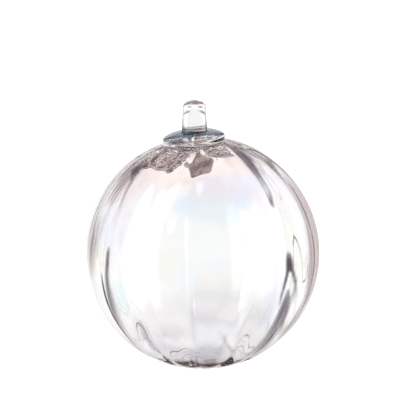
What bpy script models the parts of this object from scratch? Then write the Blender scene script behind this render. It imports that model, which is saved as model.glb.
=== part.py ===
"""A blown glass friendship ball: a ball with melon lobes, and the glass hanger laid on its top.

Metres, +Z up. The origin is the top of the hole in the hanger's loop, where a hook bears, and the hole
runs along X. The ball hangs below it.
"""

import math

import bmesh
import bpy

# The ball
BALL_RADIUS = 0.0575
LOBES = 14
GROOVE_DEPTH = 0.0014
# A higher power makes the grooves narrower beside the lobes.
GROOVE_POWER = 4.0
# How fast the grooves grow from nothing at the poles, as a power of the distance from the axis.
GROOVE_GROWTH = 1.3
FIRST_GROOVE = math.radians(-147)
# The ball sagged a little flat below while it was soft.
FLATTENING = 0.0004
FLATTENING_POWER = 6
# The shallow hollow under the ball where the working rod was broken off and polished away
ROD_MARK_RADIUS = 0.0085
ROD_MARK_DEPTH = 0.0008
# The hanger was set a little beside the ball's middle.
BALL_OFFSET = 0.0040

# The gob of glass that carries the loop
GOB_RADIUS = 0.0157
GOB_THICKNESS = 0.0043
# It slumped a little to the front and to the left of the loop.
GOB_PLACE = (-0.0009, -0.0030)
GOB_RIM_HEIGHT = 0.0022
GOB_TUCK = 0.0011
# Its rim is square on the one side and slopes on the other: powers of a rounded square.
GOB_ROUNDNESS = 3.6
GOB_ROUNDNESS_CHANGE = 1.4
# Where the rim's widest line and the edge of its seat fall on the way from its top to its underside
RIM_SHARE = 0.55
SEAT_SHARE = 0.70
# Uneven outline: (waves round the gob, share of the radius, turn)
GOB_WAVES = ((1, 0.030, 0.8), (4, 0.030, 2.4), (5, 0.012, 0.3))

# The loop
HOLE_HEIGHT = 0.0088
HOLE_WIDTH = 0.0092
STRAP_WIDTH = 0.0116
STRAP_BACK = 0.0038
STRAP_FACE = 0.0010
# The strap spreads towards the gob that it grows out of.
FOOT_WIDTH = 0.0126
FOOT_BACK = 0.0044
FOOT_HEIGHT = 0.0075
FOOT_SPREAD_POWER = 1.5
LOOP_SINK = 0.0026

# Clearance between the two bodies
GLASS_GAP = 0.0003

# How finely the surfaces are divided
FACETS_PER_LOBE = 8
BALL_RINGS = 30
GOB_COLUMNS = 40
GOB_RINGS = 18
STRAP_SIDES = 16
ARCH_STEPS = 14
LEG_STEPS = 4

# The middle of the ball, worked out from the hanger down
GOB_TOP = -HOLE_HEIGHT
BALL_TOP_UNDER_LOOP = GOB_TOP - GOB_THICKNESS - GLASS_GAP
BALL_MIDDLE = BALL_TOP_UNDER_LOOP - math.sqrt(BALL_RADIUS**2 - BALL_OFFSET**2)

BALL_COLOUR = (0.90, 0.92, 0.94, 1.0)
HANGER_COLOUR = (0.86, 0.89, 0.92, 1.0)
POLISH = 0.03
# Edges sharper than this stay sharp in the shading.
CREASE = math.radians(60)


def clear_scene():
    for obj in list(bpy.data.objects):
        bpy.data.objects.remove(obj, do_unlink=True)


def glass(name, colour):
    material = bpy.data.materials.new(name)
    material.use_nodes = True
    shader = material.node_tree.nodes["Principled BSDF"]
    shader.inputs["Base Color"].default_value = colour
    shader.inputs["Roughness"].default_value = POLISH
    shader.inputs["Metallic"].default_value = 0.0
    shader.inputs["IOR"].default_value = 1.5
    shader.inputs["Transmission Weight"].default_value = 1.0
    return material


def make_object(name, mesh, material):
    """Links the mesh as an object, shaded smooth except at its creases."""
    obj = bpy.data.objects.new(name, mesh)
    bpy.context.scene.collection.objects.link(obj)
    mesh.materials.clear()
    mesh.materials.append(material)
    mesh.shade_smooth()
    mesh.set_sharp_from_angle(angle=CREASE)
    return obj


def mesh_from(bm, name):
    bmesh.ops.recalc_face_normals(bm, faces=bm.faces)
    mesh = bpy.data.meshes.new(name)
    bm.to_mesh(mesh)
    bm.free()
    return mesh


def ball_reach(turn, polar):
    """Distance from the ball's middle to its skin. turn counts from a groove, polar from the top down."""
    out = math.sin(polar)
    up = math.cos(polar)
    groove = abs(math.cos(LOBES * turn / 2)) ** GROOVE_POWER
    reach = BALL_RADIUS - GROOVE_DEPTH * groove * out**GROOVE_GROWTH
    if up > 0:
        return reach
    reach -= FLATTENING * (-up) ** FLATTENING_POWER
    from_axis = BALL_RADIUS * out / ROD_MARK_RADIUS
    if from_axis < 1:
        reach -= ROD_MARK_DEPTH * (1 - from_axis**2) ** 2
    return reach


def make_ball():
    """The ball, a sphere whose points are drawn in to make the grooves."""
    bm = bmesh.new()
    bmesh.ops.create_uvsphere(
        bm, u_segments=LOBES * FACETS_PER_LOBE, v_segments=BALL_RINGS, radius=1.0
    )
    for vert in bm.verts:
        polar = math.acos(max(-1.0, min(1.0, vert.co.z)))
        turn = math.atan2(vert.co.y, vert.co.x)
        reach = ball_reach(turn, polar)
        way = FIRST_GROOVE + turn
        vert.co.x = BALL_OFFSET + reach * math.sin(polar) * math.cos(way)
        vert.co.y = reach * math.sin(polar) * math.sin(way)
        vert.co.z = BALL_MIDDLE + reach * math.cos(polar)
    return make_object("glass_ball", mesh_from(bm, "glass_ball"), glass("ball_glass", BALL_COLOUR))


def ball_top(x, y):
    """Height of the underside that the gob needs there to clear the ball."""
    reach = BALL_RADIUS + GLASS_GAP
    return BALL_MIDDLE + math.sqrt(reach**2 - (x - BALL_OFFSET) ** 2 - y**2)


def gob_point(way, share):
    """A point of the gob's skin. share runs from 0 in the middle of its top, over the rim, to 1 underneath."""
    waves = sum(size * math.cos(count * way + turn) for count, size, turn in GOB_WAVES)
    rim = GOB_RADIUS * (1 + waves)
    if share <= RIM_SHARE:
        power = 2 / (GOB_ROUNDNESS + GOB_ROUNDNESS_CHANGE * math.cos(way))
        quarter = share / RIM_SHARE * math.pi / 2
        out = rim * math.sin(quarter) ** power
        crown = max(0.0, math.cos(quarter)) ** power
        height = GOB_RIM_HEIGHT + (GOB_THICKNESS - GOB_RIM_HEIGHT) * crown
    elif share <= SEAT_SHARE:
        quarter = (share - RIM_SHARE) / (SEAT_SHARE - RIM_SHARE) * math.pi / 2
        out = rim - GOB_TUCK * (1 - math.cos(quarter))
        height = GOB_RIM_HEIGHT * (1 - math.sin(quarter))
    else:
        out = (rim - GOB_TUCK) * (1 - share) / (1 - SEAT_SHARE)
        height = 0.0
    x = GOB_PLACE[0] + out * math.cos(way)
    y = GOB_PLACE[1] + out * math.sin(way)
    return x, y, ball_top(x, y) + height


def gob_mesh():
    """The gob, a sphere whose points are laid over the ball's top."""
    bm = bmesh.new()
    bmesh.ops.create_uvsphere(bm, u_segments=GOB_COLUMNS, v_segments=GOB_RINGS, radius=1.0)
    for vert in bm.verts:
        share = math.acos(max(-1.0, min(1.0, vert.co.z))) / math.pi
        way = math.atan2(vert.co.y, vert.co.x)
        vert.co = gob_point(way, share)
    return mesh_from(bm, "gob")


def strap_path():
    """(y, z, outward y, outward z) down one leg of the loop to the other, over the arch."""
    radius = HOLE_WIDTH / 2 + STRAP_FACE
    arch_middle = STRAP_FACE - radius
    leg_end = GOB_TOP - LOOP_SINK
    path = []
    for step in range(LEG_STEPS):
        z = leg_end + (arch_middle - leg_end) * step / LEG_STEPS
        path.append((-radius, z, -1.0, 0.0))
    for step in range(ARCH_STEPS + 1):
        angle = math.pi - math.pi * step / ARCH_STEPS
        y, z = math.cos(angle), math.sin(angle)
        path.append((radius * y, arch_middle + radius * z, y, z))
    for step in reversed(range(LEG_STEPS)):
        z = leg_end + (arch_middle - leg_end) * step / LEG_STEPS
        path.append((radius, z, 1.0, 0.0))
    return path


def strap_section(y, z, out_y, out_z):
    """The strap's section, domed on its back and nearly flat on the face towards the hole."""
    down = (GOB_TOP + FOOT_HEIGHT - z) / FOOT_HEIGHT
    spread = min(1.0, max(0.0, down)) ** FOOT_SPREAD_POWER
    half = (STRAP_WIDTH + (FOOT_WIDTH - STRAP_WIDTH) * spread) / 2
    back = STRAP_BACK + (FOOT_BACK - STRAP_BACK) * spread
    points = []
    for side in range(STRAP_SIDES):
        angle = 2 * math.pi * side / STRAP_SIDES
        depth = math.sin(angle) * (back if angle < math.pi else STRAP_FACE)
        points.append((half * math.cos(angle), y + depth * out_y, z + depth * out_z))
    return points


def strap_mesh():
    """The strap of the loop, one section after another along its path."""
    bm = bmesh.new()
    rings = [[bm.verts.new(p) for p in strap_section(*place)] for place in strap_path()]
    for ring, following in zip(rings, rings[1:]):
        for side in range(STRAP_SIDES):
            after = (side + 1) % STRAP_SIDES
            bm.faces.new((ring[side], ring[after], following[after], following[side]))
    bm.faces.new(rings[0])
    bm.faces.new(rings[-1])
    return mesh_from(bm, "strap")


def make_hanger():
    """The gob and the strap, joined as one body of glass."""
    material = glass("hanger_glass", HANGER_COLOUR)
    hanger = make_object("hanging_loop", gob_mesh(), material)
    strap = make_object("strap_to_join", strap_mesh(), material)
    strap.hide_render = True
    strap.display_type = "WIRE"
    join = hanger.modifiers.new("Join the strap", "BOOLEAN")
    join.operation = "UNION"
    join.object = strap
    return hanger


clear_scene()
make_ball()
make_hanger()
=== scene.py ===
"""The finish of a blown glass friendship ball: its hollow wall, iridescent skin and hot-worked hanger.

Metres, +Z up. The origin is the top of the hole in the hanger's loop, and the ball hangs below it.
"""

import math

import bpy
from bpy.props import FloatProperty, FloatVectorProperty, IntProperty, PointerProperty
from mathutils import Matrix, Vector, noise


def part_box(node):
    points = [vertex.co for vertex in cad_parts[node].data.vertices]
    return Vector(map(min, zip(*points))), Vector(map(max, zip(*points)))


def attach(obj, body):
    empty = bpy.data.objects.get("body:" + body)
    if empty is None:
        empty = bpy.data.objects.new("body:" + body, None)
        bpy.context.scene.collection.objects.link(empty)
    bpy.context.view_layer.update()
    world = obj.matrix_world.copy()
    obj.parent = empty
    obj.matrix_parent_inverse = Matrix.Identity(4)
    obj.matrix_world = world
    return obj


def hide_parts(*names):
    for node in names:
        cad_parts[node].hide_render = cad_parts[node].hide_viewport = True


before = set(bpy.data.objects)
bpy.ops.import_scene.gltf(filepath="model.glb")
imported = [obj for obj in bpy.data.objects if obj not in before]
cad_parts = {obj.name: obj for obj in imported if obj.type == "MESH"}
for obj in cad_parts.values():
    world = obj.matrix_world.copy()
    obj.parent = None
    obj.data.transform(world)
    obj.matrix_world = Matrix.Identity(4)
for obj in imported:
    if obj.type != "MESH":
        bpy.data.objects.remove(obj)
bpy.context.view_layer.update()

bl_info = {
    "name": "Friendship Ball",
    "version": (1, 0, 0),
    "blender": (4, 5, 0),
    "location": "3D View > Sidebar > Friendship Ball",
    "description": "Makes a hollow blown glass ball with melon lobes and the glass hanger on its top",
    "category": "Add Mesh",
}

BALL_NODE = "glass_ball"
HANGER_NODE = "hanging_loop"
WHITE = (1.0, 1.0, 1.0)


class BallProperties(bpy.types.PropertyGroup):
    radius: FloatProperty(
        name="Radius", description="From the ball's middle to its skin, over the lobes",
        default=0.0575, min=0.01, unit="LENGTH")
    wall: FloatProperty(
        name="Wall", description="Thickness of the glass round the ball's waist",
        default=0.0026, min=0.0005, unit="LENGTH")
    groove_narrowness: FloatProperty(
        name="Groove narrowness", description="A higher power makes the grooves narrower beside the lobes",
        default=4.0, min=1.0)
    groove_depth: FloatProperty(
        name="Groove depth", description="Depth of the grooves, as a share of the solid's",
        default=1.0, min=0.0)
    groove_inside: FloatProperty(
        name="Grooves inside", description="How far the inner wall follows the grooves of the skin",
        default=0.2, min=-1.0, max=1.0)
    unevenness: FloatProperty(
        name="Unevenness", description="Height of the slow waves in the blown wall",
        default=0.00012, min=0.0, unit="LENGTH")
    sag: FloatProperty(
        name="Sag", description="How far the ball sagged flat below while it was soft",
        default=0.0004, min=0.0, unit="LENGTH")
    rod_mark_radius: FloatProperty(
        name="Rod mark", description="Radius of the polished hollow under the ball",
        default=0.0085, min=0.001, unit="LENGTH")
    rod_mark_depth: FloatProperty(
        name="Rod mark depth", description="Depth of that hollow", default=0.0008, min=0.0, unit="LENGTH")
    fold_height: FloatProperty(
        name="Fold height", description="Height of the crushed folds in the inner wall under the hanger",
        default=0.0009, min=0.0, unit="LENGTH")
    fold_size: FloatProperty(
        name="Fold size", description="Width of one fold", default=0.0031, min=0.0005, unit="LENGTH")
    # The two fold colours are painted shade: the brown of the folds stands for the dark surroundings that
    # the crushed glass bends light from, and it lies in veins of noise rather than in the valleys and
    # crests.
    fold_shade_deep: FloatVectorProperty(
        name="Fold dark", description="Tint of the glass in the valleys of the folds",
        size=3, default=(0.004, 0.002, 0.003), min=0.0, max=1.0, subtype="COLOR")
    fold_shade_pale: FloatVectorProperty(
        name="Fold light", description="Tint of the glass on the crests of the folds",
        size=3, default=(0.26, 0.13, 0.115), min=0.0, max=1.0, subtype="COLOR")
    drip_dark: FloatVectorProperty(
        name="Drip dark", description="Tint of the glass low in the drip",
        size=3, default=(0.008, 0.005, 0.005), min=0.0, max=1.0, subtype="COLOR")
    drip_light: FloatVectorProperty(
        name="Drip light", description="Tint of the glass at the drip's neck",
        size=3, default=(0.56, 0.39, 0.34), min=0.0, max=1.0, subtype="COLOR")
    drip_length: FloatProperty(
        name="Drip length", description="How far the hanger's glass has sagged into the blow hole",
        default=0.0158, min=0.001, unit="LENGTH")
    drip_width: FloatProperty(
        name="Drip width", description="Width of that drip at its belly",
        default=0.0146, min=0.001, unit="LENGTH")
    drip_place: FloatVectorProperty(
        name="Drip place", description="From the ball's axis to the drip's", size=2,
        default=(-0.0023, 0.0), subtype="TRANSLATION")
    film: FloatProperty(
        name="Film", description="Thickness of the iridescent skin in front and behind, in nanometres",
        default=480.0, min=0.0)


class HangerProperties(bpy.types.PropertyGroup):
    gob_radius: FloatProperty(
        name="Gob radius", description="Mean radius of the gob", default=0.0157, min=0.001, unit="LENGTH")
    gob_thickness: FloatProperty(
        name="Gob thickness", description="Thickness of the gob in its middle",
        default=0.0043, min=0.0005, unit="LENGTH")
    gob_place: FloatVectorProperty(
        name="Gob place", description="From under the loop to the gob's middle", size=2,
        default=(-0.0009, -0.0030), subtype="TRANSLATION")
    rim_height: FloatProperty(
        name="Rim height", description="Height of the gob's widest line over the ball",
        default=0.0022, min=0.0005, unit="LENGTH")
    hole_width: FloatProperty(
        name="Hole width", description="Width of the loop's hole", default=0.0092, min=0.001, unit="LENGTH")
    hole_height: FloatProperty(
        name="Hole height", description="From the gob up to the top of the hole",
        default=0.0088, min=0.001, unit="LENGTH")
    strap_width: FloatProperty(
        name="Strap width", description="Width of the strap at its top",
        default=0.0116, min=0.001, unit="LENGTH")
    strap_back: FloatProperty(
        name="Strap back", description="How far the strap's domed back stands out from its middle line",
        default=0.0038, min=0.0005, unit="LENGTH")
    strap_face: FloatProperty(
        name="Strap face", description="How far its flatter face stands in from that line",
        default=0.0010, min=0.0002, unit="LENGTH")
    foot_height: FloatProperty(
        name="Foot height", description="Where the strap starts to spread, over the gob",
        default=0.0075, min=0.001, unit="LENGTH")
    fineness: FloatProperty(
        name="Fineness", description="Grid on which the gob and the strap are melted together",
        default=0.00028, min=0.0002, unit="LENGTH")
    melting: IntProperty(
        name="Melting", description="How often the surface is smoothed", default=12, min=0)
    lump_height: FloatProperty(
        name="Lump height", description="Height of the slow waves that hot work left",
        default=0.00030, min=0.0, unit="LENGTH")


class StageProperties(bpy.types.PropertyGroup):
    view_height: FloatProperty(
        name="View height", description="How far above the horizon the ball is seen from",
        default=math.radians(11.5), subtype="ANGLE")
    view_distance: FloatProperty(
        name="View distance", description="From the camera to the ball's middle",
        default=0.875, min=0.1, unit="LENGTH")
    lens: FloatProperty(name="Lens", description="Focal length in millimetres", default=160.0, min=1.0)
    floor_drop: FloatProperty(
        name="Floor drop", description="From the loop down to the floor", default=0.8, unit="LENGTH")
    background: FloatProperty(
        name="Background", description="Brightness of the empty background", default=1.1, min=0.0)


def deselect_all():
    if bpy.context.object and bpy.context.object.mode != "OBJECT":
        bpy.ops.object.mode_set(mode="OBJECT")
    bpy.ops.object.select_all(action="DESELECT")


def make_active(obj):
    deselect_all()
    obj.select_set(True)
    bpy.context.view_layer.objects.active = obj


def apply_modifier(piece, name, kind, **settings):
    """Adds a modifier, sets it and applies it at once."""
    make_active(piece)
    modifier = piece.modifiers.new(name, kind)
    for setting, value in settings.items():
        setattr(modifier, setting, value)
    bpy.ops.object.modifier_apply(modifier=modifier.name)


def ball_middle(radius):
    low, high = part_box(BALL_NODE)
    return Vector(((low[0] + high[0]) / 2, (low[1] + high[1]) / 2, high[2] - radius))


def soft_step(value, start, end):
    """Rises smoothly from 0 at the start to 1 at the end, which may be the lower of the two."""
    share = min(1.0, max(0.0, (value - start) / (end - start)))
    return share * share * (3 - 2 * share)


def round_point(out, way, up):
    """A point so far out from the axis in a direction, and so far up."""
    return Vector((out * math.cos(way), out * math.sin(way), up))


def from_top(point):
    """Angle between the top of a primitive ball and a point on it."""
    return math.acos(max(-1.0, min(1.0, point.z)))


def degrees_between(way, direction):
    """How far apart two directions round the ball are, all in degrees."""
    return abs((way - direction + 180) % 360 - 180)


# The grooves grow from the poles by this power, and the ball's sag towards its underside by that one.
GROOVE_GROWTH = 1.3
SAG_POWER = 6
# The points of the solid's widest ring lie this near the height of its middle.
WAIST_BAND = 0.0002

# How finely the two walls are divided. Columns are counted in each lobe, and rings from the top.
SKIN_COLUMNS = 22
SKIN_RINGS = 150
WALL_COLUMNS = 20
DRIP_RINGS = 26
FOLD_RINGS = 84
SMOOTH_RINGS = 50
# How far the columns draw together at the grooves
GATHER = 0.7
# The folds' rings run from the drip's root to here, as angles from the ball's top.
DRIP_ROOT = math.radians(7.5)
FOLDS_END = math.radians(40)


def groove_ways(middle):
    """Directions of the solid's grooves round the ball, in order, and their depth, from its widest ring."""
    ring = set()
    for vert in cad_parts[BALL_NODE].data.vertices:
        away = vert.co - middle
        if abs(away.z) < WAIST_BAND:
            ring.add((round(math.atan2(away.y, away.x), 4), away.length))
    ring = sorted(ring)
    ways = []
    for place, (way, reach) in enumerate(ring):
        before = ring[place - 1][1]
        after = ring[(place + 1) % len(ring)][1]
        if reach < before and reach < after:
            ways.append(way)
    reaches = [reach for way, reach in ring]
    return ways, max(reaches) - min(reaches)


def column_place(point, ways, in_lobe):
    """(direction, place across its lobe) of a primitive's point, with so many columns in a lobe."""
    columns = in_lobe * len(ways)
    column = round(math.atan2(point.y, point.x) / (2 * math.pi) * columns) % columns
    lobe, number = divmod(column, in_lobe)
    across = number / in_lobe
    across -= GATHER * math.sin(2 * math.pi * across) / (2 * math.pi)
    width = (ways[(lobe + 1) % len(ways)] - ways[lobe]) % (2 * math.pi)
    return ways[lobe] + width * across, across


def round_primitive(name, columns, rings):
    deselect_all()
    bpy.ops.mesh.primitive_uv_sphere_add(segments=columns, ring_count=rings, radius=1.0, location=(0, 0, 0))
    wall = bpy.context.object
    wall.name = wall.data.name = name
    return wall


def turn_faces(piece, inside):
    """Turns all faces of a piece outwards, or inwards to its cavity."""
    make_active(piece)
    bpy.ops.object.mode_set(mode="EDIT")
    bpy.ops.mesh.select_all(action="SELECT")
    bpy.ops.mesh.normals_make_consistent(inside=inside)
    bpy.ops.object.mode_set(mode="OBJECT")


def join(piece, other):
    """Joins another piece to a piece."""
    make_active(piece)
    other.select_set(True)
    bpy.ops.object.join()


def groove_at(across, polar, settings, depth):
    """How far the wall is drawn in at a place across its lobe."""
    share = abs(math.cos(math.pi * across)) ** settings.groove_narrowness
    return settings.groove_depth * depth * share * abs(math.sin(polar)) ** GROOVE_GROWTH


# Where the grooves bend the light most, dark streaks of painted shade stand in the glass of the side that
# faces the front, for the dark surroundings that the grooves bend into view. They lie in its tint, as
# colours that light is given once.
STREAK_SHADES = {
    "grey": (0.075, 0.074, 0.105),
    "pink": (0.34, 0.23, 0.21),
    "brown": (0.048, 0.024, 0.019),
    "violet": (0.010, 0.005, 0.017),
    "dark": (0.006, 0.004, 0.005),
}
# Each streak from its upper end down: (degrees from the ball's top, direction, half width, strength)
# Later ones lie over earlier ones.
SHADE_STREAKS = (
    ("grey", (114.6, -125.2, 0.7, 0.2), (121.3, -125.3, 1, 0.45), (128.2, -125.4, 1.2, 0.5),
     (134.5, -124.8, 1.4, 0.4), (139, -124, 1.5, 0)),
    ("grey", (18.9, -39.6, 4.4, 0.5), (26.1, -44.5, 4.2, 0.7), (34.8, -46.2, 3.6, 0.8),
     (40.9, -46.4, 2.3, 0.5), (46.7, -46.7, 1.6, 0.2), (50.7, -46.7, 1.3, 0)),
    ("grey", (26.6, -35.2, 5.4, 0.15), (33.6, -39.1, 4.7, 0.25), (39.7, -41.7, 3, 0.2),
     (45.3, -43.3, 2.1, 0)),
    ("grey", (100.4, -43, 0.6, 0.6), (104.5, -42.8, 1.6, 1), (109.8, -43.1, 2.4, 1),
     (115.2, -44, 3, 0.9), (121.9, -44.5, 3.6, 0.9), (129.4, -44.8, 4.3, 0.8), (137.5, -45.2, 5.4, 0.7),
     (144.4, -46.2, 6.2, 0.4)),
    ("grey", (118.5, -81, 0.5, 0.1), (124.6, -77.4, 0.7, 0.3), (130.2, -73.8, 0.8, 0.4),
     (135.9, -69.2, 1, 0.3), (142.4, -60.6, 1.2, 0)),
    ("grey", (120.6, -76.6, 0.5, 0.2), (126.1, -77.2, 0.7, 0.35), (133.1, -79, 0.8, 0.2),
     (137.7, -80.9, 0.9, 0)),
    ("pink", (70, -27.2, 1.2, 0), (75.7, -22.7, 2.7, 0.5), (82.1, -22.1, 3.4, 0.8),
     (88.3, -22.8, 3.2, 0.8), (95, -23.9, 2.9, 0.8), (101.5, -23.6, 2.3, 0.5),
     (107.7, -24.1, 1.8, 0.1)),
    ("pink", (34.1, -169.1, 3.7, 0.3), (47.8, -172.6, 3.6, 0.1), (61.4, -172.4, 3.4, 0.4),
     (71.3, -167.1, 2.3, 0.5), (80, -164.8, 2, 0.75), (88.7, -164.7, 2.2, 0.6),
     (96.6, -162.2, 2.1, 0.3), (100.1, -159.1, 2, 0)),
    ("brown", (49.7, -170.4, 2.4, 0.1), (59.6, -165.7, 2, 0.3), (67.5, -162.4, 1.7, 0.4),
     (77, -159.2, 1.3, 0.9), (84.7, -158.6, 1.2, 0.9), (94.2, -158.7, 1.2, 0.5),
     (101.2, -157.2, 1.3, 0.2), (109.4, -156.3, 1.4, 0.1), (116.2, -156.6, 1.5, 0)),
    ("pink", (35.9, -2.6, 6.6, 0.25), (44.5, -10.3, 3.4, 0.5), (52.3, -12.8, 3.7, 0.8),
     (59.1, -13.5, 4, 0.9), (65.6, -13.6, 4.6, 0.95), (72.2, -14.2, 4.8, 0.9), (78.2, -14.3, 5.8, 1),
     (85.7, -15.9, 6.7, 1), (92.3, -17.6, 6.4, 1), (99.3, -17.6, 5.7, 1), (105.5, -17.4, 4.6, 1),
     (112.4, -19, 3.7, 0.9), (118.4, -21.6, 3.3, 0.8), (125.1, -25.1, 3.4, 0.7),
     (132.2, -29.8, 2.7, 0.3)),
    ("violet", (79.5, -142.3, 0.8, 0.3), (82.8, -142.4, 1.3, 0.9), (88.7, -142.8, 1.5, 1),
     (97.2, -144, 1.5, 1), (104.3, -144.6, 1.6, 1), (111.4, -145.3, 1.6, 1), (117.2, -145.5, 1.7, 0.9),
     (126, -145.2, 2, 0.6), (133.1, -144.8, 2.6, 0.5), (137.7, -143.2, 3, 0)),
    ("violet", (18.1, -39.6, 2.7, 0.4), (26.4, -41.8, 2.3, 0.8), (33.6, -43.1, 2, 0.9),
     (39.2, -43.8, 1.2, 0.8), (44.3, -44.2, 0.9, 0.6), (49.3, -44.1, 0.7, 0.5), (54.2, -45.1, 0.8, 0.8),
     (56.8, -45.8, 0.7, 0.6), (59.3, -46.2, 0.5, 0)),
    ("violet", (105.5, -43.3, 0.5, 0.3), (111, -43.6, 0.7, 0.8), (116.9, -44.6, 0.8, 0.8),
     (122.9, -45.8, 0.9, 0.7), (130.2, -46.4, 1.3, 0.8), (138.1, -46.6, 2, 0.8),
     (143.5, -47.4, 2.4, 0.3)),
    ("violet", (104.7, -44.6, 0.5, 0.3), (110.3, -46.3, 0.6, 0.5), (116.9, -47.7, 0.7, 0.45),
     (123.6, -49.2, 0.8, 0.4), (132.1, -50.5, 1, 0.35), (139.3, -52.2, 1.2, 0.2)),
    ("dark", (32.1, -151.7, 2.7, 0.6), (37, -150.7, 3, 0.9), (40.8, -150, 3.9, 1),
     (42.9, -148.6, 2.2, 0.9), (46.3, -145.6, 1.5, 0.75), (53.9, -143.7, 1.2, 0.6),
     (59.2, -142.1, 1.2, 0.45), (63, -142.5, 2, 0.22), (68.5, -142.7, 2.3, 0.12),
     (73.4, -142.9, 2.1, 0)),
    ("dark", (95.3, -141.7, 0.7, 0.3), (102.2, -141.4, 1, 0.7), (108.5, -141.5, 1.2, 0.8),
     (115.8, -141.5, 1.2, 0.7), (122.4, -141.1, 1.2, 0.4), (127.9, -141.5, 1.1, 0)),
    ("dark", (14.9, -41.8, 3.1, 0.4), (24.6, -46.8, 2.1, 0.8), (34.1, -47.7, 1.8, 0.9),
     (39.2, -47.5, 1.5, 0.8), (44.5, -47.4, 0.9, 0.55), (50.6, -47.5, 0.7, 0.45),
     (55.3, -47.3, 0.8, 0.9), (57.7, -47.1, 1, 0.85), (60.3, -46.8, 0.6, 0.1)),
    ("dark", (81, -43.7, 0.4, 0.1), (82.9, -43.5, 1.1, 0.8), (85.8, -43.4, 1.8, 1), (89.1, -43.2, 2, 1),
     (91.1, -43.1, 1.7, 0.9), (92, -42.9, 1.1, 0)),
    ("dark", (89.9, -44.2, 0.9, 0.9), (93.6, -45.3, 1, 1), (98.3, -46.6, 0.9, 1),
     (102.7, -47.6, 0.8, 0.9), (107.3, -47.8, 0.6, 0.4), (109.5, -47.6, 0.5, 0)),
    ("dark", (89.8, -41.9, 0.8, 0.9), (93.9, -40.2, 0.8, 0.9), (98.1, -38.7, 0.7, 0.85),
     (101.8, -38.1, 0.7, 0.6), (106.5, -37.5, 0.7, 0.3), (110.4, -37, 0.6, 0)),
    ("dark", (24, -5.5, 6.2, 0.4), (31.8, -13.8, 3.5, 0.5), (35.9, -17, 4.9, 0.9),
     (40.3, -19.7, 3.5, 0.8), (45.1, -21.7, 1.9, 0.7), (51.9, -23.3, 1.3, 0.5), (58.7, -22.3, 1.2, 0.6),
     (65.2, -22.3, 1.2, 0.55), (72.6, -23.3, 0.9, 0.35), (79.1, -25.3, 0.9, 0.5),
     (87.7, -26.2, 0.9, 0.45), (94.4, -27, 0.9, 0.25), (100.6, -25.7, 1.1, 0.4), (107, -22.5, 1.6, 0.6),
     (113.5, -22.4, 2.2, 0.5), (119.7, -23.1, 2.8, 0.6), (126.3, -25.8, 3, 0.5),
     (132.8, -30.3, 2.6, 0)),
)
# The film's colours also lie in soft patches, and the grey ones low on the front are painted shade.
PATCH_TINTS = {
    "light blue": (0.76, 0.91, 1.0),
    "lavender": (0.87, 0.87, 1.0),
    "teal": (0.78, 0.93, 0.93),
    "peach": (0.84, 0.70, 0.65),
    "yellow": (1.0, 1.0, 0.88),
    "haze": (0.44, 0.44, 0.48),
}
# Each patch: (degrees from the ball's top, direction, half its rise, half its width, strength)
PATCHES = (
    ("light blue", 55, -86, 10, 24, 1.0),
    ("lavender", 45, -75, 7, 32, 0.8),
    ("light blue", 88, -97, 10, 5, 0.5),
    ("lavender", 73, -140, 14, 11, 1.0),
    ("teal", 103, -133, 8, 6, 1.0),
    ("peach", 48, -140, 12, 19, 0.9),
    ("peach", 29, -59, 8, 16, 0.3),
    ("peach", 118, -107, 6, 8, 0.22),
    ("peach", 113, -88, 4, 5, 0.22),
    ("peach", 107, -63, 5, 5, 0.25),
    ("yellow", 73, -64, 12, 6, 1.0),
    ("yellow", 75, -42, 17, 7, 0.9),
    ("yellow", 87, -106, 10, 4, 0.8),
    ("lavender", 99, -53, 20, 7, 0.9),
    ("lavender", 134, -114, 8, 9, 0.9),
    ("haze", 136, -88, 9, 15, 1.0),
    ("haze", 136, -108, 8, 14, 0.5),
)
# A patch fades between these shares of its size, and its edge wanders by so much, in so many waves.
PATCH_FADE = (0.5, 1.3)
PATCH_WANDER = 0.5
PATCH_WAVES = 3
# A streak fades from its half width less so many degrees to a share of it and so many more.
STREAK_FADE_IN = 0.2
STREAK_FADE_SHARE = 1.8
STREAK_FADE_OUT = 0.6
# Its strengths between none and full are raised by this power.
STREAK_DEEPENING = 1.5


def skin_tint_and_shade(polar, way):
    """Tint of the skin at a place, white where no patch and no streak is. The streaks and the grey patches
    low on the front are painted shade.
    """
    colour = Vector(WHITE)
    wander = PATCH_WANDER * noise.noise(round_point(PATCH_WAVES, way, PATCH_WAVES * polar))
    polar, way = math.degrees(polar), math.degrees(way)
    for name, middle, direction, rise, width, strength in PATCHES:
        away = math.hypot((polar - middle) / rise, degrees_between(way, direction) / width) + wander
        colour = colour.lerp(Vector(PATCH_TINTS[name]), strength * (1 - soft_step(away, *PATCH_FADE)))
    for name, *points in SHADE_STREAKS:
        for start, end in zip(points, points[1:]):
            if not start[0] <= polar < end[0]:
                continue
            share = (polar - start[0]) / (end[0] - start[0])
            direction, half, strength = (a + (b - a) * share for a, b in zip(start[1:], end[1:]))
            strength = 1 - (1 - strength) ** STREAK_DEEPENING
            fade = (half - STREAK_FADE_IN, STREAK_FADE_SHARE * half + STREAK_FADE_OUT)
            strength *= 1 - soft_step(degrees_between(way, direction), *fade)
            colour = colour.lerp(Vector(STREAK_SHADES[name]), strength)
    return colour


def ball_skin(name, settings, middle, ways, depth):
    """The outside of the ball, with its grooves, its sagged underside and the mark of the rod."""
    skin = round_primitive(name, SKIN_COLUMNS * len(ways), SKIN_RINGS)
    # The attribute tint carries the film's patches and the painted shade of the streaks.
    tints = skin.data.attributes.new("tint", "FLOAT_COLOR", "POINT")
    for vert in skin.data.vertices:
        polar = from_top(vert.co)
        way, across = column_place(vert.co, ways, SKIN_COLUMNS)
        tints.data[vert.index].color = (*skin_tint_and_shade(polar, way), 1.0)
        out, up = math.sin(polar), math.cos(polar)
        reach = settings.radius - groove_at(across, polar, settings, depth)
        if up < 0:
            reach -= settings.sag * (-up) ** SAG_POWER
            from_axis = settings.radius * out / settings.rod_mark_radius
            if from_axis < 1:
                reach -= settings.rod_mark_depth * (1 - from_axis**2) ** 2
        vert.co = middle + reach * round_point(out, way, up)
    return skin


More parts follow.
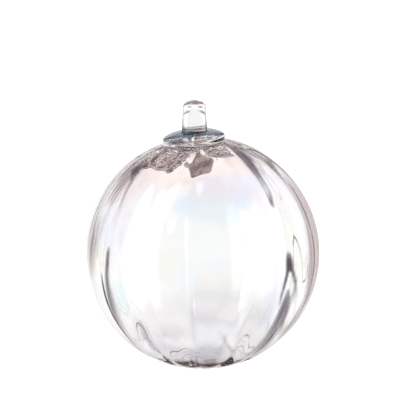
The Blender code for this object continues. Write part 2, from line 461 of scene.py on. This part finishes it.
# The drip from its root in the wall down to its tip: (share of its length, share of its half width)
DRIP_PROFILE = (
    (-0.02, 1.16), (0.03, 0.80), (0.14, 0.42), (0.28, 0.34), (0.42, 0.62), (0.56, 0.95), (0.72, 1.00),
    (0.90, 0.93), (0.975, 0.86), (1.0, 0.72), (1.005, 0.36), (1.0, 0.0),
)
# Its underside is a little lower on the left than on the right.
DRIP_TILT = 0.13
# On the way from its tip (0) to its root (1), the tilt and the drip's place fade from here on.
DRIP_TILT_FADE = 0.72
DRIP_PLACE_FADE = 0.8
# Its lumps: how many in a metre, their height, and the share of the way from its tip where they are full
DRIP_LUMPS = 120.0
DRIP_LUMP_HEIGHT = 0.0003
DRIP_LUMPS_FULL = 0.2
# Its dark band: where it sets in on the way down, where it pales, by how much, and how its edge waves
DRIP_BAND_START = (0.50, 0.62)
DRIP_BAND_END = (0.74, 0.84)
DRIP_BAND_PALING = 0.55
DRIP_BAND_WAVE = 0.16
DRIP_BAND_WAVES = 190.0
# Its left side is dark too: where, in metres from the ball's axis, and how dark beside the band
DRIP_DARK_LEFT = (-0.0030, -0.0055)
DRIP_DARK_LEFT_SHARE = 0.9
# The attribute "crushed" in the folds, at the drip's lightest, and how much more at its darkest
FOLD_MARK = 0.5
DRIP_MARK = 1.0
DRIP_MARK_RANGE = 0.97


def drip_point(share):
    """A point on a smooth curve through the drip's profile, from its tip (0) to its root (1)."""
    last = len(DRIP_PROFILE) - 1
    spot = (1 - share) * last
    number = min(int(spot), last - 1)
    t = spot - number
    around = [Vector(DRIP_PROFILE[min(max(number + step, 0), last)]) for step in (-1, 0, 1, 2)]
    if number == last - 1:
        around[3] = Vector((around[1].x, -around[1].y))
    before, start, end, after = around
    return 0.5 * (
        2 * start + (end - before) * t + (2 * before - 5 * start + 4 * end - after) * t**2
        + (3 * start - before - 3 * end + after) * t**3
    )


def drip_mark(down, place):
    """How brown the drip is: least at its neck, most on its left and in a wavy band low on its belly."""
    wave = noise.noise(Vector((place.x * DRIP_BAND_WAVES, place.y * DRIP_BAND_WAVES, 5.0)))
    waved = down + DRIP_BAND_WAVE * wave
    band = soft_step(waved, *DRIP_BAND_START) * (1 - DRIP_BAND_PALING * soft_step(waved, *DRIP_BAND_END))
    left = DRIP_DARK_LEFT_SHARE * soft_step(place.x, *DRIP_DARK_LEFT)
    return DRIP_MARK + DRIP_MARK_RANGE * max(band, left)


def drip_place(share, way, settings):
    """(place from the ball's middle, mark) on the drip, from its tip (0) to its root (1)."""
    inside = settings.radius - settings.wall
    height = inside * math.cos(DRIP_ROOT)
    root = round_point(inside * math.sin(DRIP_ROOT), way, height)
    down, half = drip_point(share)
    place = round_point(half * settings.drip_width / 2, way, height - down * settings.drip_length)
    place.z += soft_step(share, 1.0, DRIP_TILT_FADE) * DRIP_TILT * place.x
    place = (place + Vector(settings.drip_place).to_3d()).lerp(root, soft_step(share, DRIP_PLACE_FADE, 1.0))
    lumps = noise.noise(place * DRIP_LUMPS) * DRIP_LUMP_HEIGHT * min(1.0, share / DRIP_LUMPS_FULL)
    return place + round_point(lumps, way, 0.0), drip_mark(down, place)


# Directions round the ball count from +X towards +Y, so the side that the photo shows is at -90 degrees.
# The folds in that order: (direction of their middle, its half width, how far down they reach), in degrees.
FOLD_FIELDS = ((-143, 44, 38), (-67, 22, 26), (60, 120, 24))
# Under the gob they run all the way round, from here to there, in degrees from the ball's top.
FOLDS_START = 12.5
FOLD_RING = 15.5
# A field is full over this share of its half width.
FOLD_CORE = 0.55
# How softly the folds start and end, and how far and in how many waves their end is ragged, in degrees
FOLDS_SET_IN = 1.5
FOLDS_LET_GO = 1.6
FOLD_RAGS = 3.4
FOLD_RAG_WAVES = 6
# A fold is a dome so high, whose sides fall by this power, with smaller ones on it, in shares of it.
FOLD_TOP = 1.25
FOLD_ROUNDNESS = 1.5
SMALL_FOLD_SIZE = 0.45
SMALL_FOLD_HEIGHT = 0.35
# The domes are stretched in depth, squeezed in height, and warped by waves so long and so high.
FOLD_STRETCH = Vector((1.0, 0.8, 1.5))
FOLD_WARP_LENGTH = 1.6
FOLD_WARP_HEIGHT = 0.8
# Without a seed, the noise that warps them is another one in each run.
FOLD_SEED = 3

# The wall is thicker below, between these angles from the top, by so much.
THICK_BELOW = (math.radians(150), math.radians(172))
THICK_BELOW_MORE = 0.0016
# The wall's slow waves: how many fit in the ball's radius, and where in the noise they are taken from
WALL_WAVES = 4.5
WALL_WAVES_START = Vector((7.0, 0.0, 0.0))


def fold_share(polar, way):
    """How strong the folds are at a place, from 0 to 1."""
    ragged = FOLD_RAGS * noise.noise(round_point(FOLD_RAG_WAVES, way, 3.0))
    polar, way = math.degrees(polar), math.degrees(way)
    share = 0.0
    for middle, half_width, reach in FOLD_FIELDS:
        spread = 1 - soft_step(degrees_between(way, middle), FOLD_CORE * half_width, half_width)
        end = FOLD_RING + (reach + ragged - FOLD_RING) * spread
        share = max(share, 1 - soft_step(polar, end - FOLDS_LET_GO, end))
    return share * soft_step(polar, FOLDS_START - FOLDS_SET_IN, FOLDS_START)


def dome_side(point, width):
    """How far down the side of a dome a point is, from 0 at its top to 1."""
    return min(1.0, noise.voronoi(point / width)[0][0]) ** FOLD_ROUNDNESS


def fold_height(point, settings):
    """Height of the folds at a point: domes of glass of two sizes, with sharp valleys between them."""
    size = settings.fold_size
    warp = noise.noise_vector(point / (FOLD_WARP_LENGTH * size)) * size * FOLD_WARP_HEIGHT
    folded = point * FOLD_STRETCH + warp
    small = SMALL_FOLD_HEIGHT * dome_side(folded, SMALL_FOLD_SIZE * size)
    return settings.fold_height * (FOLD_TOP - dome_side(folded, size) - small)


def inner_wall(settings, middle, ways, depth):
    """The inside of the ball, facing the cavity, with the folds and the drip under the hanger."""
    noise.seed_set(FOLD_SEED)
    rings = DRIP_RINGS + FOLD_RINGS + SMOOTH_RINGS
    wall = round_primitive("inner_wall", WALL_COLUMNS * len(ways), rings)
    folded = wall.data.attributes.new("folded", "FLOAT", "POINT")
    crushed = wall.data.attributes.new("crushed", "FLOAT", "POINT")
    for vert in wall.data.vertices:
        ring = round(from_top(vert.co) / math.pi * rings)
        way, across = column_place(vert.co, ways, WALL_COLUMNS)
        if ring <= DRIP_RINGS:
            place, mark = drip_place(ring / DRIP_RINGS, way, settings)
            folded.data[vert.index].value = 1.0
            crushed.data[vert.index].value = mark
            vert.co = middle + place
            continue
        ring -= DRIP_RINGS
        if ring <= FOLD_RINGS:
            polar = DRIP_ROOT + (FOLDS_END - DRIP_ROOT) * ring / FOLD_RINGS
        else:
            polar = FOLDS_END + (math.pi - FOLDS_END) * (ring - FOLD_RINGS) / SMOOTH_RINGS
        direction = round_point(math.sin(polar), way, math.cos(polar))
        thick = settings.wall + THICK_BELOW_MORE * soft_step(polar, *THICK_BELOW)
        thick += settings.unevenness * noise.noise(direction * WALL_WAVES + WALL_WAVES_START)
        reach = settings.radius - thick - settings.groove_inside * groove_at(across, polar, settings, depth)
        strength = fold_share(polar, way)
        if strength > 0:
            reach -= strength * fold_height(direction * reach, settings)
            folded.data[vert.index].value = strength
            crushed.data[vert.index].value = FOLD_MARK
        vert.co = middle + direction * reach
    turn_faces(wall, inside=True)
    return wall


# The gob's outline: (waves round it, share of the radius, turn)
GOB_WAVES = ((1, 0.030, 0.8), (4, 0.030, 2.4), (5, 0.012, 0.3))
# Its rim is square on the one side and slopes on the other: powers of a rounded square.
GOB_ROUNDNESS = 3.6
GOB_ROUNDNESS_CHANGE = 1.4
# Where the rim's widest line and the edge of the seat fall on the way from the gob's top to its underside
RIM_SHARE = 0.55
SEAT_SHARE = 0.70
# How far its foot flows out over the ball
GOB_FLOW = 0.0014
# How finely the gob and the strap are divided: round them, and from end to end
GOB_FACES = (128, 64)
STRAP_FACES = (48, 96)
# How far the strap's legs run down into the gob, and how much wider and thicker they are there
STRAP_SINK = 0.0026
FOOT_SPREAD = (0.0010, 0.0006)
FOOT_SPREAD_POWER = 1.5
# The hanger's lumps: how many in a metre, and where they set in, in metres under the top of the hole
HANGER_LUMPS = 110.0
HANGER_LUMPS_FROM = (0.004, 0.009)
# The hanger keeps so far off the ball, and a face of it that is nearer than this is fused to it.
FUSED_GAP = 0.0002
FUSED_WITHIN = 0.0006
# It also faces the ball: the cosine between its normal and the way out of the ball is below this.
FUSED_FACING = -0.9


def gob_rim(way, settings):
    """Radius of the gob's widest line in a direction."""
    waves = sum(size * math.cos(count * way + turn) for count, size, turn in GOB_WAVES)
    return settings.gob_radius * (1 + waves)


def under_gob(point, settings):
    """Whether a point of the ball's top lies under the gob."""
    x, y = point.x - settings.gob_place[0], point.y - settings.gob_place[1]
    return math.hypot(x, y) < gob_rim(math.atan2(y, x), settings)


def gob_point(way, share, settings, ball_radius, middle):
    """A point of the gob's skin. share runs from 0 in the middle of its top, over the rim, to 1 below."""
    rim = gob_rim(way, settings)
    if share <= RIM_SHARE:
        power = 2 / (GOB_ROUNDNESS + GOB_ROUNDNESS_CHANGE * math.cos(way))
        quarter = share / RIM_SHARE * math.pi / 2
        out = rim * abs(math.sin(quarter)) ** power
        crown = max(0.0, math.cos(quarter)) ** power
        height = settings.rim_height + (settings.gob_thickness - settings.rim_height) * crown
    elif share <= SEAT_SHARE:
        quarter = (share - RIM_SHARE) / (SEAT_SHARE - RIM_SHARE) * math.pi / 2
        out = rim + GOB_FLOW * (1 - math.cos(quarter)) ** 2
        height = settings.rim_height * (1 - math.sin(quarter))
    else:
        out = (rim + GOB_FLOW) * (1 - share) / (1 - SEAT_SHARE)
        height = 0.0
    x = settings.gob_place[0] + out * math.cos(way)
    y = settings.gob_place[1] + out * math.sin(way)
    top = middle.z + math.sqrt(ball_radius**2 - (x - middle.x) ** 2 - (y - middle.y) ** 2)
    return Vector((x, y, top + height))


def make_gob(settings, ball_radius, middle):
    gob = round_primitive("gob", *GOB_FACES)
    for vert in gob.data.vertices:
        way = math.atan2(vert.co.y, vert.co.x)
        vert.co = gob_point(way, from_top(vert.co) / math.pi, settings, ball_radius, middle)
    return gob


def strap_line(share, settings):
    """(y, z, outward y, outward z) on the strap's middle line, from one foot over the arch to the other."""
    radius = settings.hole_width / 2 + settings.strap_face
    arch_middle = settings.strap_face - radius
    leg = arch_middle + settings.hole_height + STRAP_SINK
    along = share * (2 * leg + math.pi * radius)
    if along < leg:
        return -radius, arch_middle - leg + along, -1.0, 0.0
    angle = math.pi - (along - leg) / radius
    if angle >= 0:
        y, z = math.cos(angle), math.sin(angle)
        return radius * y, arch_middle + radius * z, y, z
    return radius, arch_middle + angle * radius, 1.0, 0.0


def make_strap(settings):
    """The strap, a grid rolled up into a tube along its line and closed at its feet."""
    deselect_all()
    bpy.ops.mesh.primitive_grid_add(
        x_subdivisions=STRAP_FACES[0], y_subdivisions=STRAP_FACES[1], size=1.0, location=(0, 0, 0)
    )
    strap = bpy.context.object
    for vert in strap.data.vertices:
        angle = 2 * math.pi * (vert.co.x + 0.5)
        y, z, out_y, out_z = strap_line(vert.co.y + 0.5, settings)
        down = (settings.foot_height - settings.hole_height - z) / settings.foot_height
        spread = min(1.0, max(0.0, down)) ** FOOT_SPREAD_POWER
        half = (settings.strap_width + FOOT_SPREAD[0] * spread) / 2
        back = settings.strap_back + FOOT_SPREAD[1] * spread
        depth = math.sin(angle) * (back if math.sin(angle) > 0 else settings.strap_face)
        vert.co = (half * math.cos(angle), y + depth * out_y, z + depth * out_z)
    make_active(strap)
    bpy.ops.object.mode_set(mode="EDIT")
    bpy.ops.mesh.select_all(action="SELECT")
    bpy.ops.mesh.remove_doubles(threshold=1e-6)
    bpy.ops.mesh.fill_holes(sides=0)
    bpy.ops.object.mode_set(mode="OBJECT")
    turn_faces(strap, inside=False)
    return strap


def lay_hanger(hanger, settings, ball_radius, middle):
    """Gives the hanger the slow waves that hot work left, and lays its underside on the ball's skin."""
    normals = [vert.normal.copy() for vert in hanger.data.vertices]
    clear = ball_radius + FUSED_GAP
    for vert, normal in zip(hanger.data.vertices, normals):
        height = settings.lump_height * soft_step(-vert.co.z, *HANGER_LUMPS_FROM)
        vert.co += normal * (height * (noise.noise(vert.co * HANGER_LUMPS) - 0.5))
        away = vert.co - middle
        if away.length < clear:
            vert.co = middle + away.normalized() * clear


def fused_faces(piece, is_fused):
    """Gives the faces where two pieces of glass are fused the slot of a material that bends no light."""
    for face in piece.data.polygons:
        if is_fused(face):
            face.material_index = 1


def feed(socket, value):
    """Gives a socket a number or a colour, or links another socket to it."""
    if isinstance(value, bpy.types.NodeSocket):
        socket.id_data.links.new(value, socket)
    elif socket.type == "RGBA":
        socket.default_value = (*value, 1.0)
    else:
        socket.default_value = value


def add_node(tree, kind, sockets=(), **settings):
    """Adds a node, sets it, feeds its sockets from (name or number, value), and gives its outputs."""
    node = tree.nodes.new(kind)
    for setting, value in settings.items():
        setattr(node, setting, value)
    for socket, value in sockets:
        feed(node.inputs[socket], value)
    return node.outputs


def math_node(tree, operation, *values):
    return add_node(tree, "ShaderNodeMath", enumerate(values), operation=operation)["Value"]


def edge(tree, value, start, end):
    """Rises smoothly from 0 to 1 between two values."""
    sockets = (("Value", value), ("From Min", start), ("From Max", end))
    return add_node(tree, "ShaderNodeMapRange", sockets, interpolation_type="SMOOTHSTEP")["Result"]


def mixed_colour(tree, factor, first, second):
    """One colour or the other, each given as a value or as a socket."""
    sockets = (("Factor", factor), ("A", first), ("B", second))
    return add_node(tree, "ShaderNodeMix", sockets, data_type="RGBA")["Result"]


def noise_node(tree, place, scale, detail=2.0, distortion=0.0):
    sockets = (("Vector", place), ("Scale", scale), ("Detail", detail), ("Distortion", distortion))
    return add_node(tree, "ShaderNodeTexNoise", sockets)["Fac"]


def object_place(tree):
    return add_node(tree, "ShaderNodeTexCoord")["Object"]


def parts_of(tree, vector):
    """The x, y and z of a vector."""
    return add_node(tree, "ShaderNodeSeparateXYZ", (("Vector", vector),))


def edge_on(tree, start, end):
    """Rises from 0 to 1 as the glass is seen more and more edge-on."""
    return edge(tree, add_node(tree, "ShaderNodeLayerWeight")["Facing"], start, end)


def attribute(tree, name):
    return add_node(tree, "ShaderNodeAttribute", attribute_name=name)


def colour_bands(tree, level, bands):
    """Soft bands of colour, one over the other."""
    ramp = tree.nodes.new("ShaderNodeValToRGB")
    ramp.color_ramp.interpolation = "EASE"
    feed(ramp.inputs["Fac"], level)
    for element, (place, colour) in zip(ramp.color_ramp.elements, (bands[0], bands[-1])):
        element.position = place
        element.color = (*colour, 1.0)
    for place, colour in bands[1:-1]:
        ramp.color_ramp.elements.new(place).color = (*colour, 1.0)
    return ramp.outputs["Color"]


def new_finish(name, sockets):
    """A material with these values on its shader, and the shader's sockets."""
    material = bpy.data.materials.new(name)
    material.use_nodes = True
    shader = material.node_tree.nodes["Principled BSDF"].inputs
    for socket, value in sockets:
        feed(shader[socket], value)
    return material, shader


def glass(name, bends=1.5):
    """Smooth clear glass that bends light by this index, and its shader's sockets."""
    return new_finish(name, (("Transmission Weight", 1.0), ("IOR", bends), ("Roughness", 0.0)))


# Tints of the skin: (share of the ball's height from its underside, colour). The greyer bands near the
# underside are painted shade.
PASTELS_AND_LOW_SHADE = (
    (0.02, (0.58, 0.55, 0.62)),
    (0.16, (0.86, 0.83, 0.83)),
    (0.28, (0.94, 0.95, 0.97)),
    (0.38, (1.00, 1.00, 1.00)),
    (0.52, (1.00, 0.99, 0.94)),
    (0.64, (0.93, 0.96, 1.00)),
    (0.76, (0.94, 0.93, 1.00)),
    (0.88, (0.98, 0.88, 0.84)),
    (0.97, (0.96, 0.86, 0.83)),
)
# How far the bands stray up and down, as a share of the height, and how fine the noise is that they follow
PASTEL_STRAY = 0.55
PASTEL_NOISE = 38.0
# Where the wall is seen edge-on it is pinkish brown, the glass's tint over a longer path, and more so on
# its right side, which is painted shade.
RIM_TINT_AND_SHADE = (0.17, 0.11, 0.09)
RIM_TINT_EDGE_ON = (0.62, 0.86)
RIM_SHADE_LEFT_SHARE = 0.5
# The film grows by so many nanometres for each metre away from the ball's line from front to back.
FILM_GROWTH = 2200.0
# It wanders by so many nanometres to either side, with noise so fine, and bends light by this index.
FILM_WANDER = 120.0
FILM_NOISE = 22.0
FILM_BENDS = 1.58


def ball_glass(settings, middle):
    """Clear glass under a thin iridescent film, whose colours drift from the middle to the edges."""
    material, shader = glass("ball_glass")
    tree = material.node_tree
    sockets = (("Vector", object_place(tree)), ("Location", -middle))
    place = add_node(tree, "ShaderNodeMapping", sockets)["Vector"]
    x, _, z = parts_of(tree, place)

    square = math_node(tree, "MULTIPLY_ADD", z, z, math_node(tree, "MULTIPLY", x, x))
    drift = noise_node(tree, place, FILM_NOISE)
    wander = math_node(tree, "MULTIPLY_ADD", drift, 2 * FILM_WANDER, -FILM_WANDER)
    film = math_node(tree, "MULTIPLY_ADD", math_node(tree, "SQRT", square), FILM_GROWTH, wander)
    feed(shader["Thin Film Thickness"], math_node(tree, "ADD", film, settings.film))
    feed(shader["Thin Film IOR"], FILM_BENDS)

    # Bands of the film's colours, grey near the underside as painted shade.
    level = math_node(tree, "MULTIPLY_ADD", z, 0.5 / settings.radius, 0.5)
    drift = noise_node(tree, place, PASTEL_NOISE, detail=1.0)
    stray = math_node(tree, "MULTIPLY_ADD", drift, PASTEL_STRAY, -PASTEL_STRAY / 2)
    pastel_and_shade = colour_bands(tree, math_node(tree, "ADD", level, stray), PASTELS_AND_LOW_SHADE)
    # Edge-on the glass takes the rim tint, half as much on the left: the extra on the right is painted
    # shade.
    side = edge(tree, x, -settings.radius, settings.radius)
    side = math_node(tree, "MULTIPLY_ADD", side, 1 - RIM_SHADE_LEFT_SHARE, RIM_SHADE_LEFT_SHARE)
    rim = math_node(tree, "MULTIPLY", edge_on(tree, *RIM_TINT_EDGE_ON), side)
    sockets = ((0, mixed_colour(tree, rim, pastel_and_shade, RIM_TINT_AND_SHADE)), (1, attribute(tree, "tint")["Color"]))
    colour = add_node(tree, "ShaderNodeVectorMath", sockets, operation="MULTIPLY")["Vector"]
    feed(shader["Base Color"], colour)
    return material


# The painted shade of the folds lies in veins: how fine their noise is, and between which values of it the
# veins lie
VEIN_NOISE = 400.0
VEIN_DETAIL = 3.0
VEIN_DISTORTION = 1.6
VEIN_EDGE = (0.44, 0.52)
# Between these values of the attribute "crushed" the folds give way to the drip.
DRIP_BORDER = (0.9, 1.0)


def cavity_glass(settings):
    """The bare glass of the inner wall: clear, but with painted shade in the folds, brown in veins, and
    brown in the drip.

    The wall's attribute "folded" says where the folds and the drip are. Its attribute "crushed" says which
    it is, and how dark the drip is: FOLD_MARK in the folds, and DRIP_MARK and more on the drip.
    """
    material, shader = glass("cavity_glass")
    tree = material.node_tree
    crushed = attribute(tree, "crushed")["Fac"]
    veins = noise_node(tree, object_place(tree), VEIN_NOISE, VEIN_DETAIL, VEIN_DISTORTION)
    on_drip = edge(tree, crushed, *DRIP_BORDER)
    depth = math_node(tree, "MAXIMUM", math_node(tree, "SUBTRACT", crushed, DRIP_MARK), 0.0)
    off_drip = math_node(tree, "SUBTRACT", 1.0, on_drip)
    dark = math_node(tree, "MULTIPLY_ADD", off_drip, edge(tree, veins, *VEIN_EDGE), depth)
    # The folds' brown is painted shade.
    folds = mixed_colour(tree, dark, settings.fold_shade_pale, settings.fold_shade_deep)
    drip = mixed_colour(tree, dark, settings.drip_light, settings.drip_dark)
    brown = mixed_colour(tree, on_drip, folds, drip)
    feed(shader["Base Color"], mixed_colour(tree, attribute(tree, "folded")["Fac"], WHITE, brown))
    return material


def fused_glass(name):
    """Where the gob is melted into the ball there is no surface: light goes straight on."""
    material, shader = glass(name, bends=1.0)
    feed(shader["Base Color"], WHITE)
    return material


# Tints of the hanger from the gob's edge (0) to its top behind the loop (1), with a dark steel-blue streak
# of painted reflection
HANGER_TINTS_AND_REFLECTION = (
    (0.00, (0.40, 0.33, 0.32)),
    (0.22, (0.72, 0.66, 0.64)),
    (0.30, (0.98, 0.98, 0.98)),
    (0.38, (0.97, 0.98, 0.98)),
    (0.45, (0.004, 0.020, 0.050)),
    (0.90, (0.003, 0.016, 0.042)),
    (0.96, (0.97, 0.97, 0.97)),
)
CLEAR_TINT = (0.97, 0.97, 0.97)
# Where they begin and end, as heights over a slope that falls to the left and more steeply to the front
TINT_HEIGHTS = (-0.0185, -0.0083)
TINT_SLOPE = (-0.09, 0.203)
# They wander up and down by so many metres in all, with noise so fine.
TINT_WANDER = 0.0016
TINT_NOISE = 120.0
# Over these heights the tints give way to the clear glass of the strap.
STRAP_CLEAR_FROM = (-0.0094, -0.0087)
# Towards the back the gob is clear again.
GOB_CLEAR_BEHIND = (0.0030, 0.0060)
# Along its two edges, and where it is seen edge-on, the strap has a thin brown line of painted shade.
STRAP_EDGES = (0.0050, 0.0057)
STRAP_EDGE_ON = (0.70, 0.88)
STRAP_LINE_SHADE = (0.11, 0.07, 0.06)


def hanger_glass():
    """Thick clear glass, polished by the flame, with a painted reflection across the gob, a dark steel-blue
    streak, and thin brown lines of painted shade along the strap.
    """
    material, shader = glass("hanger_glass")
    tree = material.node_tree
    place = object_place(tree)
    x, y, z = parts_of(tree, place)
    height = math_node(tree, "MULTIPLY_ADD", x, TINT_SLOPE[0], z)
    height = math_node(tree, "MULTIPLY_ADD", y, TINT_SLOPE[1], height)
    height = math_node(tree, "MULTIPLY_ADD", noise_node(tree, place, TINT_NOISE), TINT_WANDER, height)
    low, high = (limit + TINT_WANDER / 2 for limit in TINT_HEIGHTS)
    sockets = (("Value", height), ("From Min", low), ("From Max", high))
    # The dark steel-blue band in these tints is a painted reflection.
    tints = colour_bands(tree, add_node(tree, "ShaderNodeMapRange", sockets)["Result"], HANGER_TINTS_AND_REFLECTION)
    tints = mixed_colour(tree, edge(tree, y, *GOB_CLEAR_BEHIND), tints, CLEAR_TINT)
    edges = edge(tree, math_node(tree, "ABSOLUTE", x), *STRAP_EDGES)
    line = math_node(tree, "MAXIMUM", edge_on(tree, *STRAP_EDGE_ON), edges)
    # The strap's brown lines are painted shade.
    strap = mixed_colour(tree, line, CLEAR_TINT, STRAP_LINE_SHADE)
    feed(shader["Base Color"], mixed_colour(tree, edge(tree, z, *STRAP_CLEAR_FROM), tints, strap))
    return material


class FRIENDSHIPBALL_OT_ball(bpy.types.Operator):
    """Blow the ball: a hollow wall of clear glass with an iridescent skin"""

    bl_idname = "friendship_ball.ball"
    bl_label = "Ball"

    def execute(self, context):
        settings = context.scene.friendship_ball
        gob = context.scene.friendship_hanger
        middle = ball_middle(settings.radius)
        ways, depth = groove_ways(middle)
        ball = ball_skin("blown_ball", settings, middle, ways, depth)
        wall = inner_wall(settings, middle, ways, depth)
        for material in (ball_glass(settings, middle), fused_glass("ball_fused")):
            ball.data.materials.append(material)
        fused_faces(ball, lambda face: face.center.z > middle.z and under_gob(face.center, gob))
        wall.data.materials.append(cavity_glass(settings))
        join(ball, wall)
        bpy.ops.object.shade_smooth()
        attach(ball, "root")
        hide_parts(BALL_NODE)
        return {"FINISHED"}


class FRIENDSHIPBALL_OT_hanger(bpy.types.Operator):
    """Lay the hanger on the ball: the gob of glass and the loop drawn out of it"""

    bl_idname = "friendship_ball.hanger"
    bl_label = "Hanger"

    def execute(self, context):
        settings = context.scene.friendship_hanger
        radius = context.scene.friendship_ball.radius
        middle = ball_middle(radius)
        hanger = make_gob(settings, radius, middle)
        join(hanger, make_strap(settings))
        hanger.name = hanger.data.name = "hanger"
        apply_modifier(hanger, "Melt", "REMESH", mode="VOXEL", voxel_size=settings.fineness)
        apply_modifier(hanger, "Smooth", "SMOOTH", factor=0.5, iterations=settings.melting)
        lay_hanger(hanger, settings, radius, middle)
        for material in (hanger_glass(), fused_glass("hanger_fused")):
            hanger.data.materials.append(material)

        def is_fused(face):
            away = face.center - middle
            return away.length < radius + FUSED_WITHIN and face.normal.dot(away.normalized()) < FUSED_FACING

        fused_faces(hanger, is_fused)
        make_active(hanger)
        bpy.ops.object.shade_smooth()
        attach(hanger, "root")
        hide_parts(HANGER_NODE)
        return {"FINISHED"}


# The cards round the ball, in degrees: (from, to) to the right of the way the camera looks, (from, to)
# above the horizon, the softness of the edges, and the light from there. Later ones lie over earlier ones.
CARDS = (
    ("near right", (85, 400), (-95, 95), 20, (0.57, 0.52, 0.54)),
    ("near left", (-400, -85), (-95, 95), 20, (0.57, 0.52, 0.54)),
    ("far left", (-36, -15), (8, 34), 6, (0.30, 0.28, 0.29)),
    ("far right", (12, 24), (8, 34), 6, (0.30, 0.30, 0.33)),
    ("left side", (-80, -50), (-32, 5), 14, (0.60, 0.55, 0.54)),
    ("floor strip", (-14, 12), (-62, -36), 4, (0.14, 0.07, 0.06)),
    ("left lamp", (-130, -102), (-40, 74), 16, (3.2, 3.2, 3.2)),
    ("right lamp", (104, 132), (-27, 46), 16, (2.4, 2.4, 2.4)),
)
# The light that comes from where no card is
ROOM_LIGHT = (1.06, 1.06, 1.06)
# The camera looks so far to the right of the ball's middle and so far above it.
AIM_ASIDE = -0.00128
AIM_ABOVE = 0.0259


def card_mask(tree, way, rise, ways, rises, softness):
    """Where a card lies, from 0 to 1, with soft edges."""
    half = math.radians(softness) / 2
    mask = 1.0
    for value, ends in ((way, ways), (rise, rises)):
        start, end = (math.radians(angle) for angle in ends)
        for place, soft in ((start, half), (end, -half)):
            mask = math_node(tree, "MULTIPLY", mask, edge(tree, value, place - soft, place + soft))
    return mask


def studio_world(context, settings):
    """An even pale studio with soft cards and lamps, which give glass its edges and its shine."""
    world = bpy.data.worlds.new("studio")
    context.scene.world = world
    world.use_nodes = True
    tree = world.node_tree
    tree.nodes.clear()
    x, y, z = parts_of(tree, add_node(tree, "ShaderNodeTexCoord")["Generated"])
    way = math_node(tree, "ARCTAN2", x, y)
    rise = math_node(tree, "ARCSINE", z)
    light = ROOM_LIGHT
    for name, ways, rises, softness, colour in CARDS:
        light = mixed_colour(tree, card_mask(tree, way, rise, ways, rises, softness), light, colour)
        light.node.label = name
    room = add_node(tree, "ShaderNodeBackground", (("Color", light),))["Background"]
    sockets = (("Color", WHITE), ("Strength", settings.background))
    plain = add_node(tree, "ShaderNodeBackground", sockets)["Background"]
    seen = add_node(tree, "ShaderNodeLightPath")["Is Camera Ray"]
    both = add_node(tree, "ShaderNodeMixShader", (("Fac", seen), (1, room), (2, plain)))["Shader"]
    add_node(tree, "ShaderNodeOutputWorld", (("Surface", both),))


def make_floor(settings):
    """The wide pale floor, which the glass neither mirrors nor bends."""
    deselect_all()
    bpy.ops.mesh.primitive_circle_add(
        vertices=96, radius=9.0, fill_type="NGON", location=(0, 0, -settings.floor_drop)
    )
    floor = bpy.context.object
    floor.name = "floor"
    floor.data.transform(floor.matrix_world)
    floor.matrix_world.identity()
    material, shader = new_finish("floor", (("Base Color", (0.9, 0.9, 0.9)), ("Roughness", 0.8)))
    feed(shader["Emission Color"], WHITE)
    feed(shader["Emission Strength"], 0.6)
    floor.data.materials.append(material)
    floor.visible_transmission = False
    floor.visible_glossy = False
    return floor


def make_camera(settings, middle):
    camera = bpy.data.cameras.new("camera")
    camera.lens = settings.lens
    camera.clip_start = 0.01
    camera.clip_end = 60.0
    eye = bpy.data.objects.new("camera", camera)
    lift = settings.view_height
    back = Vector((0.0, -math.cos(lift), math.sin(lift)))
    up = Vector((0.0, math.sin(lift), math.cos(lift)))
    eye.location = middle + back * settings.view_distance
    target = middle + up * AIM_ABOVE + Vector((AIM_ASIDE, 0.0, 0.0))
    eye.rotation_mode = "QUATERNION"
    eye.rotation_quaternion = (target - eye.location).to_track_quat("-Z", "Y")
    return eye


class FRIENDSHIPBALL_OT_stage(bpy.types.Operator):
    """Set up the pale floor, the soft studio light and the camera"""

    bl_idname = "friendship_ball.stage"
    bl_label = "Stage"

    def execute(self, context):
        scene = context.scene
        settings = scene.friendship_stage
        studio_world(context, settings)
        make_floor(settings)
        eye = make_camera(settings, ball_middle(scene.friendship_ball.radius))
        scene.collection.objects.link(eye)
        scene.camera = eye
        scene.view_settings.view_transform = "Standard"
        scene.cycles.max_bounces = 24
        scene.cycles.transmission_bounces = 24
        scene.cycles.glossy_bounces = 12
        return {"FINISHED"}


class FRIENDSHIPBALL_PT_sidebar(bpy.types.Panel):
    """Lists the settings and the steps"""

    bl_idname = "FRIENDSHIPBALL_PT_sidebar"
    bl_label = "Friendship Ball"
    bl_space_type = "VIEW_3D"
    bl_region_type = "UI"
    bl_category = "Friendship Ball"

    def draw(self, context):
        for group, step in (
            (context.scene.friendship_ball, FRIENDSHIPBALL_OT_ball),
            (context.scene.friendship_hanger, FRIENDSHIPBALL_OT_hanger),
            (context.scene.friendship_stage, FRIENDSHIPBALL_OT_stage),
        ):
            box = self.layout.box()
            for name in group.__annotations__:
                box.prop(group, name)
            box.operator(step.bl_idname)


CLASSES = (
    BallProperties,
    HangerProperties,
    StageProperties,
    FRIENDSHIPBALL_OT_ball,
    FRIENDSHIPBALL_OT_hanger,
    FRIENDSHIPBALL_OT_stage,
    FRIENDSHIPBALL_PT_sidebar,
)


def register():
    for cls in CLASSES:
        bpy.utils.register_class(cls)
    bpy.types.Scene.friendship_ball = PointerProperty(type=BallProperties)
    bpy.types.Scene.friendship_hanger = PointerProperty(type=HangerProperties)
    bpy.types.Scene.friendship_stage = PointerProperty(type=StageProperties)


def unregister():
    del bpy.types.Scene.friendship_stage
    del bpy.types.Scene.friendship_hanger
    del bpy.types.Scene.friendship_ball
    for cls in reversed(CLASSES):
        bpy.utils.unregister_class(cls)


def main():
    register()
    bpy.ops.friendship_ball.ball()
    bpy.ops.friendship_ball.hanger()
    bpy.ops.friendship_ball.stage()


if __name__ == "__main__":
    main()
